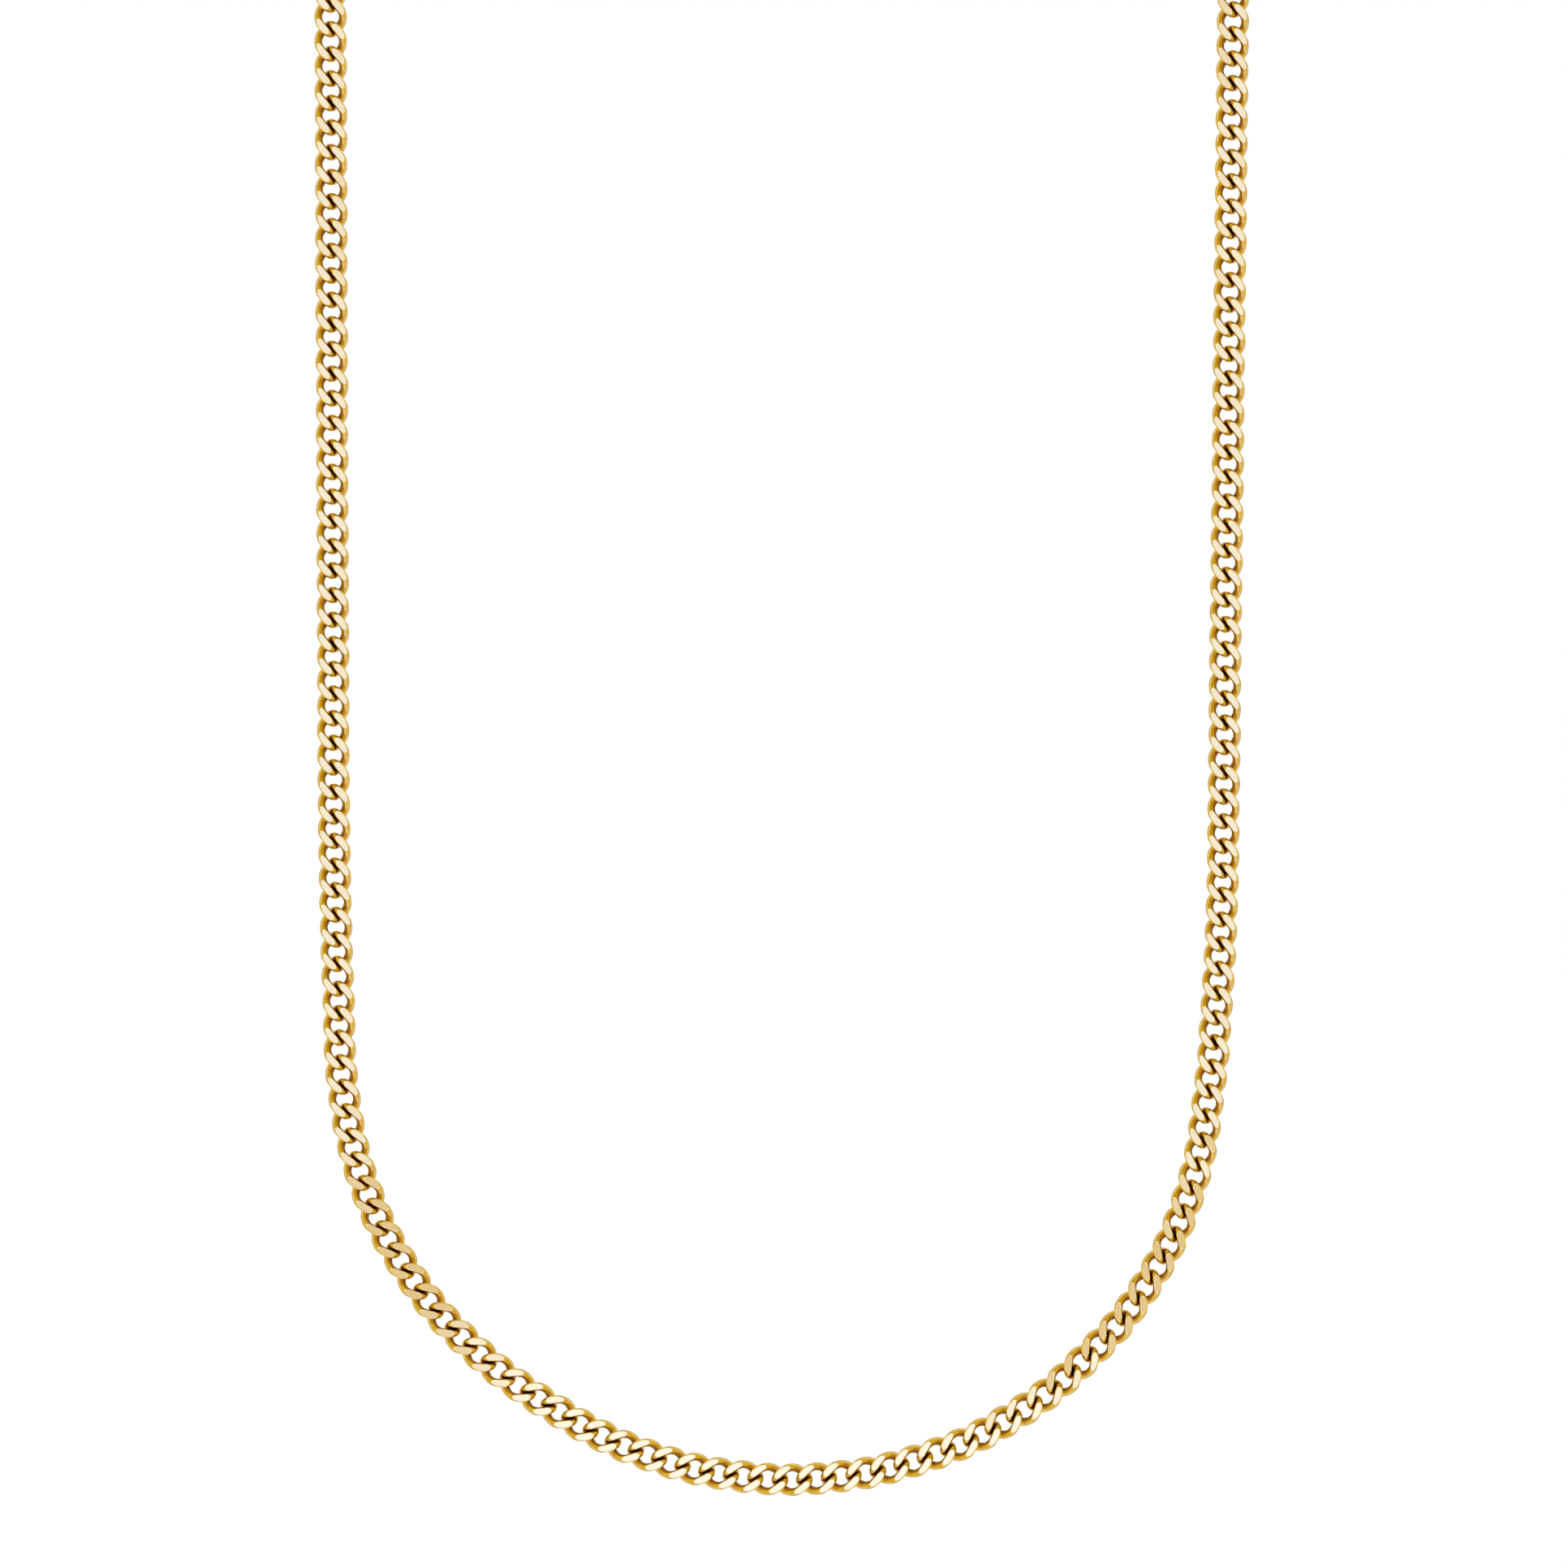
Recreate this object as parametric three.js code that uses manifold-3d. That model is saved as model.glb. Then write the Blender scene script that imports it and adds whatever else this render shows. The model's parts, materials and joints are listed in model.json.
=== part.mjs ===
// Curb-link necklace, laid flat and unfastened, with its two ends pointing along +Y.
// Millimetres, +Z up. The lowest point of the chain's curve faces -Y.
import * as THREE from 'three';
import { mergeVertices } from 'three/addons/utils/BufferGeometryUtils.js';
import Module from 'manifold-3d';

const manifold = await Module();
manifold.setup();

// Driving dimensions of one link.
const PITCH = 3.0; // distance between neighbouring links along the chain
const LINK_HALF_LENGTH = 2.0; // wire centre, along the chain
const LINK_HALF_WIDTH = 1.6; // wire centre, before the twist narrows it
const WIRE_HALF_WIDTH = 0.48;
const WIRE_HALF_HEIGHT = 0.4;
const LINK_CORNERS = 8;
const WIRE_CORNERS = 4;
const TWIST = THREE.MathUtils.degToRad(-45); // turn of a link's end about the chain's own line
const FACE_HEIGHT = 0.86; // the ground flat faces lie this far above and below the middle
const FUSED_REACH = 0.97 * LINK_HALF_LENGTH; // ends that are joined inside one segment
const FREE_REACH = 1.07 * LINK_HALF_LENGTH; // ends that hook a neighbour with play

// The chain's curve, walked outward from the middle of the lowest segment along each arm.
// Each stretch is [number of steps from link to link, degrees turned at each step].
const LINKS_PER_SEGMENT = 4;
const SEGMENTS_PER_ARM = 22;
const MIDDLE_HEADING = THREE.MathUtils.degToRad(-1.56);
const RIGHT_TURNS = [[3, 4.06], [4, 3.11], [4, 3.59], [6, 3.15], [6, 3.86], [4, 1.45], [9, 0.45]];
const LEFT_TURNS = [[3, 3.74], [5, 3.37], [4, 2.06], [10, 3.45], [4, 3.63], [12, 0.24]];
const LIFTED_LINKS = 8; // the last links of each arm climb gently to the end rings

// End rings: wire centre radius and wire radius.
const JUMP_RING = { radius: 1.6, wire: 0.35, tilt: THREE.MathUtils.degToRad(62) };
const END_RING = { radius: 2.1, wire: 0.4, tilt: THREE.MathUtils.degToRad(45) };
const RING_PLAY = 0.12;
const RING_SIDES = 6;
const RING_STEPS = 16;
const HOLE_STEPS = 12;

// Lobster clasp, drawn with its eye's centre at the origin and its hook towards +X.
const CLASP = {
  halfThickness: 1.3,
  bevel: 0.3,
  eyeRadius: 1.3,
  eyeWire: 0.42,
  slotHalfHeight: 0.6,
  slotStart: 1.9,
  slotEnd: 5.8,
  pivot: new THREE.Vector2(3.7, 0.2),
  pinRadius: 0.3,
  holeRadius: 0.38,
  cutReach: 10, // cutters pass right through the clasp
};
const CLASP_DROOP = THREE.MathUtils.degToRad(2.4); // from the leaning ring down to the hook's end
const LEVER_HALF_THICKNESS = 0.45;
const SPRING = { radius: 1.5, thickness: 0.16, halfHeight: 0.35, centre: new THREE.Vector2(1.15, -1.2) };

const GOLD = new THREE.Color(0xe3bb62);
const GOLD_FINISH = { color: GOLD, metalness: 1.0, roughness: 0.18 };
const STEEL_FINISH = { color: new THREE.Color(0xb9bcc0), metalness: 1.0, roughness: 0.3 };

// A three.js geometry as a solid that can be joined and cut.
function toSolid(geometry) {
  const bare = geometry.clone();
  bare.deleteAttribute('normal');
  bare.deleteAttribute('uv');
  const merged = mergeVertices(bare, 1e-5);
  const mesh = new manifold.Mesh({
    numProp: 3,
    vertProperties: new Float32Array(merged.attributes.position.array),
    triVerts: new Uint32Array(merged.index.array),
  });
  return new manifold.Manifold(mesh);
}

// A joined or cut solid as a three.js geometry.
function toGeometry(solid) {
  const mesh = solid.getMesh();
  const geometry = new THREE.BufferGeometry();
  geometry.setAttribute('position', new THREE.BufferAttribute(mesh.vertProperties, 3));
  geometry.setIndex(new THREE.BufferAttribute(mesh.triVerts, 1));
  geometry.computeVertexNormals();
  return geometry;
}

function finishedMesh(name, geometry, finish = GOLD_FINISH) {
  const mesh = new THREE.Mesh(geometry, new THREE.MeshStandardMaterial(finish));
  mesh.name = name;
  return mesh;
}

// One curb link along X: an eight-cornered oval ring, twisted about X and ground flat on both faces.
function curbLink(startReach, endReach) {
  const cornerScale = 1 / Math.cos(Math.PI / LINK_CORNERS);
  const unitRing = 2; // the plain ring that is reshaped below, with a wire of radius one
  const geometry = new THREE.TorusGeometry(unitRing, 1, WIRE_CORNERS, LINK_CORNERS);
  geometry.rotateZ(Math.PI / LINK_CORNERS);
  const position = geometry.attributes.position;
  for (let i = 0; i < position.count; i += 1) {
    const around = Math.atan2(position.getY(i), position.getX(i));
    const outward = Math.hypot(position.getX(i), position.getY(i)) - unitRing;
    const upward = position.getZ(i);
    const cornerX = Math.cos(around) * cornerScale;
    const cornerY = Math.sin(around) * cornerScale;
    const reach = cornerX < 0 ? startReach : endReach;
    const turn = TWIST * cornerX;
    const side = LINK_HALF_WIDTH * cornerY;
    // The section's four corners stand at plus and minus one, inward or outward, up or down.
    const out = WIRE_HALF_WIDTH * (outward - upward);
    const up = WIRE_HALF_HEIGHT * (outward + upward);
    const height = side * Math.sin(turn) + up;
    position.setXYZ(
      i,
      reach * cornerX + out * cornerX,
      side * Math.cos(turn) + out * cornerY,
      THREE.MathUtils.clamp(height, -FACE_HEIGHT, FACE_HEIGHT),
    );
  }
  return geometry;
}

// The turn at each step from link to link, from a list of stretches; the rest of the arm is straight.
function turnAt(stretches, step) {
  let first = 0;
  for (const [steps, degrees] of stretches) {
    if (step < first + steps) return THREE.MathUtils.degToRad(degrees);
    first += steps;
  }
  return 0;
}

// A frame on the chain's line: X along the chain, Z up, pitched by its climb.
function frame(point, heading, climb) {
  const matrix = new THREE.Matrix4().makeRotationZ(heading);
  matrix.multiply(new THREE.Matrix4().makeRotationY(-climb));
  return matrix.setPosition(point);
}

// From the middle of an arm's last link to the middle of the ring that hooks it.
function ringDistance(ring) {
  return FREE_REACH - WIRE_HALF_WIDTH - ring.wire - RING_PLAY + ring.radius;
}

// The slope of an arm's last links, which brings its leaning ring down to the surface.
function endClimb(ring) {
  const rise = ring.radius * Math.sin(ring.tilt) + ring.wire - FACE_HEIGHT;
  return Math.asin(rise / (LIFTED_LINKS * PITCH + ringDistance(ring)));
}

// Link frames, and the joint frames between them, of one arm walked outward.
function armFrames(startHeading, side, stretches, ring) {
  const total = LINKS_PER_SEGMENT / 2 + SEGMENTS_PER_ARM * LINKS_PER_SEGMENT;
  const climbAt = (k) => (k >= total - LIFTED_LINKS ? endClimb(ring) : 0);
  const links = [];
  const joints = [];
  let heading = startHeading;
  const point = new THREE.Vector3(0, 0, 0);
  point.x = 0.5 * PITCH * Math.cos(heading);
  point.y = 0.5 * PITCH * Math.sin(heading);
  for (let k = 0; k < total; k += 1) {
    links.push(frame(point, heading, climbAt(k)));
    const halfTurn = 0.5 * side * turnAt(stretches, k);
    heading += halfTurn;
    const step = new THREE.Vector3(Math.cos(heading), Math.sin(heading), Math.sin(climbAt(k + 1)));
    const middle = point.clone().addScaledVector(step, 0.5 * PITCH);
    joints.push(frame(middle, heading, 0.5 * (climbAt(k) + climbAt(k + 1))));
    point.addScaledVector(step, PITCH);
    heading += halfTurn;
  }
  return { links, joints };
}

// One rigid length of chain: neighbouring links joined where they hook, drawn in its joint's frame.
function chainSegment(name, home, linkFrames) {
  const toHome = home.clone().invert();
  let solid = null;
  linkFrames.forEach((linkFrame, i) => {
    const startReach = i === 0 ? FREE_REACH : FUSED_REACH;
    const endReach = i === linkFrames.length - 1 ? FREE_REACH : FUSED_REACH;
    const geometry = curbLink(startReach, endReach);
    geometry.applyMatrix4(toHome.clone().multiply(linkFrame));
    solid = solid ? solid.add(toSolid(geometry)) : toSolid(geometry);
  });
  const mesh = finishedMesh(name, toGeometry(solid));
  mesh.applyMatrix4(home);
  return mesh;
}

// The frame of a part hooked on an arm's last link, at a distance along the arm's line.
function beyondLastLink(arm, distance, climb = 0) {
  const last = arm.links[arm.links.length - 1];
  const offset = new THREE.Matrix4().makeTranslation(distance, 0, 0);
  const placed = last.clone().multiply(offset);
  const point = new THREE.Vector3().setFromMatrixPosition(placed);
  const direction = new THREE.Vector3().setFromMatrixColumn(last, 0);
  return frame(point, Math.atan2(direction.y, direction.x), climb);
}

// A round ring that leans about the chain's line.
function leaningRing(name, ring, home) {
  const geometry = new THREE.TorusGeometry(ring.radius, ring.wire, RING_SIDES, RING_STEPS);
  geometry.rotateX(ring.tilt);
  const mesh = finishedMesh(name, geometry);
  mesh.applyMatrix4(home);
  return mesh;
}

function claspOutline() {
  const shape = new THREE.Shape();
  shape.moveTo(1.0, -1.2);
  shape.quadraticCurveTo(2.2, -2.1, 4.2, -2.3);
  shape.quadraticCurveTo(7.6, -3.2, 10.0, -1.9);
  shape.quadraticCurveTo(11.9, -0.6, 11.4, 1.1);
  shape.quadraticCurveTo(10.9, 2.5, 9.3, 2.6);
  shape.lineTo(9.1, 1.75);
  shape.quadraticCurveTo(10.3, 1.4, 10.2, 0.3);
  shape.quadraticCurveTo(9.9, -1.1, 7.9, -1.3);
  shape.quadraticCurveTo(6.0, -1.3, 5.6, -0.3);
  shape.lineTo(5.3, 1.8);
  shape.quadraticCurveTo(3.2, 2.3, 1.0, 1.2);
  shape.closePath();
  return shape;
}

function extrudedPlate(shape, halfThickness, bevel, curveSegments) {
  const geometry = new THREE.ExtrudeGeometry(shape, {
    depth: 2 * (halfThickness - bevel),
    bevelEnabled: bevel > 0,
    bevelThickness: bevel,
    bevelSize: bevel,
    bevelOffset: -bevel,
    bevelSegments: 1,
    curveSegments,
  });
  return geometry.translate(0, 0, bevel - halfThickness);
}

function crossCylinder(radius, halfLength, centre) {
  const geometry = new THREE.CylinderGeometry(radius, radius, 2 * halfLength, HOLE_STEPS);
  geometry.rotateX(Math.PI / 2);
  return geometry.translate(centre.x, centre.y, 0);
}

function claspBody() {
  const plate = extrudedPlate(claspOutline(), CLASP.halfThickness, CLASP.bevel, 5);
  const eye = new THREE.TorusGeometry(CLASP.eyeRadius, CLASP.eyeWire, RING_SIDES, RING_STEPS);
  const slotLength = CLASP.slotEnd - CLASP.slotStart;
  const slot = new THREE.BoxGeometry(slotLength, CLASP.cutReach, 2 * CLASP.slotHalfHeight);
  slot.translate(0.5 * (CLASP.slotStart + CLASP.slotEnd), 0, 0);
  const eyeHole = crossCylinder(CLASP.eyeRadius - CLASP.eyeWire, CLASP.halfThickness, new THREE.Vector2());
  const pinHole = crossCylinder(CLASP.holeRadius, CLASP.cutReach, CLASP.pivot);
  return toSolid(plate)
    .add(toSolid(eye))
    .subtract(toSolid(eyeHole))
    .subtract(toSolid(slot))
    .subtract(toSolid(pinHole));
}

// The lever: a gate that closes the hook, a hub on the pin and a thumb lug on the other side.
function claspLever() {
  const shape = new THREE.Shape();
  shape.moveTo(3.0, 1.0);
  shape.quadraticCurveTo(4.2, 2.2, 6.0, 2.4);
  shape.lineTo(8.9, 2.4);
  shape.lineTo(8.75, 1.7);
  shape.quadraticCurveTo(6.6, 1.6, 5.0, 0.5);
  shape.quadraticCurveTo(4.4, -0.6, 4.3, -1.9);
  shape.quadraticCurveTo(4.2, -2.9, 3.5, -3.3);
  shape.quadraticCurveTo(2.9, -3.2, 3.1, -2.4);
  shape.quadraticCurveTo(3.2, -1.2, 2.9, 0.0);
  shape.closePath();
  const plate = extrudedPlate(shape, LEVER_HALF_THICKNESS, 0, 4);
  return toSolid(plate).subtract(toSolid(crossCylinder(CLASP.holeRadius, CLASP.cutReach, CLASP.pivot)));
}

// A bowed leaf spring in the slot, pressing the thumb lug away from the eye.
function claspSpring() {
  const shape = new THREE.Shape();
  const half = THREE.MathUtils.degToRad(42);
  const outer = SPRING.radius + 0.5 * SPRING.thickness;
  const inner = SPRING.radius - 0.5 * SPRING.thickness;
  shape.absarc(SPRING.centre.x, SPRING.centre.y, outer, -half, half, false);
  shape.absarc(SPRING.centre.x, SPRING.centre.y, inner, half, -half, true);
  shape.closePath();
  return extrudedPlate(shape, SPRING.halfHeight, 0, 6);
}

function claspGroup(home) {
  const group = new THREE.Group();
  const pin = crossCylinder(CLASP.pinRadius, CLASP.halfThickness, CLASP.pivot);
  group.add(finishedMesh('clasp_body', toGeometry(claspBody())));
  group.add(finishedMesh('clasp_lever', toGeometry(claspLever())));
  group.add(finishedMesh('clasp_pin', pin));
  group.add(finishedMesh('clasp_spring', claspSpring(), STEEL_FINISH));
  group.applyMatrix4(home);
  return group;
}

const necklace = new THREE.Group();

// The middle segment joins the two arms at the lowest point of the curve.
const right = armFrames(MIDDLE_HEADING, 1, RIGHT_TURNS, END_RING);
const left = armFrames(MIDDLE_HEADING + Math.PI, -1, LEFT_TURNS, JUMP_RING);
const half = LINKS_PER_SEGMENT / 2;
const halfTurnAbout = new THREE.Matrix4().makeRotationZ(Math.PI);
const turnedLeftLinks = left.links.slice(0, half).map((link) => link.clone().multiply(halfTurnAbout));
const middleLinks = [...turnedLeftLinks.reverse(), ...right.links.slice(0, half)];
necklace.add(chainSegment('chain_middle', frame(new THREE.Vector3(), MIDDLE_HEADING, 0), middleLinks));

for (const [sideName, arm] of [['left', left], ['right', right]]) {
  for (let s = 0; s < SEGMENTS_PER_ARM; s += 1) {
    const first = half + s * LINKS_PER_SEGMENT;
    const name = `chain_${sideName}_${String(s + 1).padStart(2, '0')}`;
    const linkFrames = arm.links.slice(first, first + LINKS_PER_SEGMENT);
    necklace.add(chainSegment(name, arm.joints[first - 1], linkFrames));
  }
}

const jumpRingDistance = ringDistance(JUMP_RING);
necklace.add(leaningRing('clasp_jump_ring', JUMP_RING, beyondLastLink(left, jumpRingDistance)));
const eyeStep = JUMP_RING.radius - JUMP_RING.wire - CLASP.eyeWire - RING_PLAY + CLASP.eyeRadius;
necklace.add(claspGroup(beyondLastLink(left, jumpRingDistance + eyeStep, -CLASP_DROOP)));
necklace.add(leaningRing('end_ring', END_RING, beyondLastLink(right, ringDistance(END_RING))));

// The origin is the middle of the necklace's box, on the surface that it lies on.
necklace.updateMatrixWorld(true);
const box = new THREE.Box3().setFromObject(necklace, true);
const centre = box.getCenter(new THREE.Vector3());
necklace.position.set(-centre.x, -centre.y, -box.min.z);

export default necklace;
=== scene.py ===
"""Looks of a gold curb-link necklace, laid flat and unfastened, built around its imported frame.

Every piece is in metres, in the frame's own axes: the chain lies on the ground plane with its lowest
point towards -Y and its two free ends towards +Y.
"""

import json
import logging
import math
from dataclasses import dataclass
from enum import Enum
from typing import Any, Mapping, Sequence

import bmesh
import bpy
from bpy.types import ID, Material, Mesh, Node, NodeSocket, NodeTree, Object
from mathutils import Matrix, Vector


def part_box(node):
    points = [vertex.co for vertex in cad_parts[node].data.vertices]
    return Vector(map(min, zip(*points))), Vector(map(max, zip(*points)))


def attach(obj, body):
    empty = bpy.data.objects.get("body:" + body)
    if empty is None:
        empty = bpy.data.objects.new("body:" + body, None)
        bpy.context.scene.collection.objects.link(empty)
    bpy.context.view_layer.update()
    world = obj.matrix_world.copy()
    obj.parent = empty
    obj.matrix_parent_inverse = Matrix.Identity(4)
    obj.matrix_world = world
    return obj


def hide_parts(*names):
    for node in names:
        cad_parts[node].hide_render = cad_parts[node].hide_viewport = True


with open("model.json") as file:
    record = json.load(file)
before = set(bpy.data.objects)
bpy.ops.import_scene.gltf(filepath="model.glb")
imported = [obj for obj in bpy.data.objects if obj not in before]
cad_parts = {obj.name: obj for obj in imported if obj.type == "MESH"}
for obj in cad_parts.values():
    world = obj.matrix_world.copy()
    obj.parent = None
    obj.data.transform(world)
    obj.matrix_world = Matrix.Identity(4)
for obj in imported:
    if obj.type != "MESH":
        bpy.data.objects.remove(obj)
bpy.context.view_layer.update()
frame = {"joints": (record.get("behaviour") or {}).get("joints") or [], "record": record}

MM = 0.001
WELD = 0.004  # millimetres; corners closer than this are one corner
SAME_PLACE = 1e-6  # millimetres; an outline whose ends are closer than this is closed
WIRE_SIDES = 18  # facets round the wire of a ring
UP = Vector((0.0, 0.0, 1.0))
Colour = tuple[float, float, float, float]
log = logging.getLogger("necklace")


class Slot(Enum):
    """Material slots of the record."""

    CHAIN = "gold_chain"
    FITTINGS = "gold_fittings"
    SPRING = "spring_steel"


class Arm(Enum):
    """The two arms of the chain, seen from above with the free ends at the top."""

    RIGHT = "right"
    LEFT = "left"


# ---- node graphs


class Value:
    """A number socket that Python arithmetic turns into Math nodes."""

    def __init__(self, graph: "NodeGraph", socket: NodeSocket) -> None:
        """Wraps an output socket.

        Args:
            graph: the graph that new Math nodes are added to.
            socket: the output that holds the number.
        """
        self.graph = graph
        self.socket = socket

    def _math(self, operation: str, first: "Value | float", second: "Value | float") -> "Value":
        """Adds one Math node and returns its result."""
        made = self.graph.node("ShaderNodeMath", {"operation": operation}, {0: first, 1: second})
        return Value(self.graph, made.outputs[0])

    def __add__(self, other: "Value | float") -> "Value":
        """self + other."""
        return self._math("ADD", self, other)

    __radd__ = __add__

    def __sub__(self, other: "Value | float") -> "Value":
        """self - other."""
        return self._math("SUBTRACT", self, other)

    def __rsub__(self, other: "Value | float") -> "Value":
        """other - self."""
        return self._math("SUBTRACT", other, self)

    def __mul__(self, other: "Value | float") -> "Value":
        """self * other."""
        return self._math("MULTIPLY", self, other)

    __rmul__ = __mul__

    def __gt__(self, other: "Value | float") -> "Value":
        """1 where self is above other, else 0."""
        return self._math("GREATER_THAN", self, other)

    def __lt__(self, other: "Value | float") -> "Value":
        """1 where self is below other, else 0."""
        return self._math("LESS_THAN", self, other)


class NodeGraph:
    """A node tree: one method adds any node, the others add what comes again and again."""

    def __init__(self, tree: NodeTree) -> None:
        """Empties the tree.

        Args:
            tree: the tree of a material, a world or a geometry modifier.
        """
        self.tree = tree
        tree.nodes.clear()

    def node(
        self,
        kind: str,
        settings: Mapping[str, Any] | None = None,
        inputs: Mapping[int | str, Any] | None = None,
    ) -> Node:
        """Adds a node.

        Args:
            kind: the node's type, such as "ShaderNodeMath".
            settings: properties set before the sockets are filled; "stops" are a colour ramp's stops.
            inputs: a number, a vector, a Value or an output socket for each input socket.

        Returns:
            The new node.
        """
        made = self.tree.nodes.new(kind)
        for key, setting in (settings or {}).items():
            if key == "stops":
                self._fill_ramp(made, setting)
            else:
                setattr(made, key, setting)
        for key, given in (inputs or {}).items():
            source = given.socket if isinstance(given, Value) else given
            if isinstance(source, NodeSocket):
                self.tree.links.new(source, made.inputs[key])
            else:
                made.inputs[key].default_value = source
        return made

    def value(self, socket: NodeSocket) -> Value:
        """Wraps an output socket for arithmetic."""
        return Value(self, socket)

    def mix(self, factor: Value | float, first: Any, second: Any) -> NodeSocket:
        """Mixes two colours.

        Args:
            factor: 0 gives the first colour and 1 the second.
            first: a colour or a colour socket.
            second: a colour or a colour socket.

        Returns:
            The mixed colour's socket.
        """
        settings = {"data_type": "RGBA", "clamp_factor": True}
        return self.node("ShaderNodeMix", settings, {0: factor, 6: first, 7: second}).outputs[2]

    def smooth_range(self, value: Any, low: float, high: float) -> Value:
        """Smoothly maps low..high to 0..1."""
        settings = {"interpolation_type": "SMOOTHSTEP", "clamp": True}
        made = self.node("ShaderNodeMapRange", settings, {0: value, 1: low, 2: high, 3: 0.0, 4: 1.0})
        return self.value(made.outputs[0])

    def noise(self, place: Any, scale: float, detail: float, roughness: float = 0.5) -> Value:
        """A noise from 0 to 1 that reads a place."""
        inputs = {"Vector": place, "Scale": scale, "Detail": detail, "Roughness": roughness}
        return self.value(self.node("ShaderNodeTexNoise", None, inputs).outputs[0])

    def bump(self, strength: float, depth: float, height: Value) -> NodeSocket:
        """A surface direction that follows a height; the depth is in millimetres."""
        inputs = {"Strength": strength, "Distance": depth * MM, "Height": height}
        return self.node("ShaderNodeBump", None, inputs).outputs[0]

    def surface(self, inputs: Mapping[str, Any]) -> None:
        """Ends a material with one shader that has these inputs."""
        shader = self.node("ShaderNodeBsdfPrincipled", None, inputs)
        self.node("ShaderNodeOutputMaterial", None, {"Surface": shader.outputs[0]})

    @staticmethod
    def _fill_ramp(node: Node, stops: Sequence[tuple[float, Colour]]) -> None:
        """Replaces a colour ramp's stops."""
        elements = node.color_ramp.elements
        while len(elements) > 1:
            elements.remove(elements[-1])
        elements[0].position, elements[0].color = stops[0]
        for position, colour in stops[1:]:
            elements.new(position).color = colour


# ---- finishes


def new_material(name: str) -> tuple[Material, NodeGraph, NodeSocket]:
    """Makes an empty material.

    Args:
        name: the material's name.

    Returns:
        The material, its graph and the socket of its Object coordinates.
    """
    made = bpy.data.materials.new(name)
    made.use_nodes = True
    graph = NodeGraph(made.node_tree)
    return made, graph, graph.node("ShaderNodeTexCoord").outputs["Object"]


@dataclass(frozen=True)
class GoldFinish:
    """Polished yellow gold with painted light: ground faces painted pale as a painted highlight, warmer
    wire, and recesses darkened with painted shade.

    Its grains and depths are in millimetres.
    """

    name: str
    wire: Colour = (0.80, 0.58, 0.22, 1.0)
    wire_warm: Colour = (0.74, 0.49, 0.14, 1.0)
    edge: Colour = (0.58, 0.34, 0.06, 1.0)
    # painted highlight: the ground faces are painted near-white cream instead of gold, standing in for
    # the bright light they mirror
    ground: Colour = (0.95, 0.86, 0.68, 1.0)
    # painted reflection: the band round each ground face is painted pale tan, standing in for the light
    # along its rounded rim
    ground_rim_reflection: Colour = (0.88, 0.72, 0.45, 1.0)
    # painted shade: the near-black brown that the recesses are painted, standing in for the shade
    # between the links
    painted_shade: Colour = (0.12, 0.018, 0.0, 1.0)
    roughness: float = 0.13
    ground_roughness: float = 0.07
    tint_roughness: float = 0.08
    scratch_roughness: float = 0.05
    recess_roughness: float = 0.12
    streak_roughness: float = 0.05
    # how strongly the painted shade darkens the recesses, and how much the scratch noise varies it
    painted_shade_amount: float = 0.95
    painted_shade_scatter: float = 0.3
    tint_grain: float = 0.9
    tint_range: tuple[float, float] = (0.35, 0.7)
    noise_roughness: float = 0.6
    scratch_grain: float = 0.05
    scratch_depth: float = 0.0006
    ground_smoothing: float = 0.6
    streak_height: float = 0.5
    streak_turn: float = 0.5
    streak_scale: tuple[float, float, float] = (2500.0, 26000.0, 1.0)
    bump_strength: float = 0.35

    def material(self) -> Material:
        """Makes the material.

        Returns:
            A metal that reads Object coordinates and three marks of the mesh: the ground faces and
            their rims, which get a painted highlight and a painted reflection, and the recesses, which
            get painted shade.
        """
        made, graph, place = new_material(self.name)
        tint = graph.noise(place, 1.0 / (self.tint_grain * MM), 3.0, self.noise_roughness)
        scratch = graph.noise(place, 1.0 / (self.scratch_grain * MM), 5.0, self.noise_roughness)
        turned = {"Vector": place, "Rotation": (0.0, 0.0, self.streak_turn), "Scale": self.streak_scale}
        streak = graph.noise(graph.node("ShaderNodeMapping", None, turned).outputs[0], 1.0, 3.0)
        cut, line, recess_shade = (self._mark(graph, mark) for mark in ("cut_face", "cut_line", "recess_shade"))
        colour = graph.mix(graph.smooth_range(tint.socket, *self.tint_range), self.wire, self.wire_warm)
        # painted shade: the recesses are painted dark brown, varied by the scratch noise
        painted_shade_weight = recess_shade * (self.painted_shade_amount + self.painted_shade_scatter * scratch)
        colour = graph.mix(painted_shade_weight, colour, self.painted_shade)
        # painted highlight: the ground faces are painted cream
        colour = graph.mix(cut, colour, self.ground)
        # painted reflection: the band round each ground face is painted pale tan
        colour = graph.mix(line, colour, self.ground_rim_reflection)
        rough = self.roughness + self.tint_roughness * (tint - 0.5)
        rough = rough + self.scratch_roughness * (scratch - 0.5) + self.recess_roughness * recess_shade
        ground_rough = self.ground_roughness + self.streak_roughness * streak
        rough = rough + cut * (ground_rough - rough)
        height = scratch * (1 - self.ground_smoothing * cut) + self.streak_height * streak * cut
        bump = graph.bump(self.bump_strength, self.scratch_depth, height)
        look = {"Base Color": colour, "Metallic": 1.0, "Roughness": rough, "Specular Tint": self.edge}
        graph.surface({**look, "Normal": bump})
        return made

    @staticmethod
    def _mark(graph: NodeGraph, name: str) -> Value:
        """A mark that the mesh carries, from 0 to 1."""
        return graph.value(graph.node("ShaderNodeAttribute", {"attribute_name": name}).outputs["Fac"])


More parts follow.
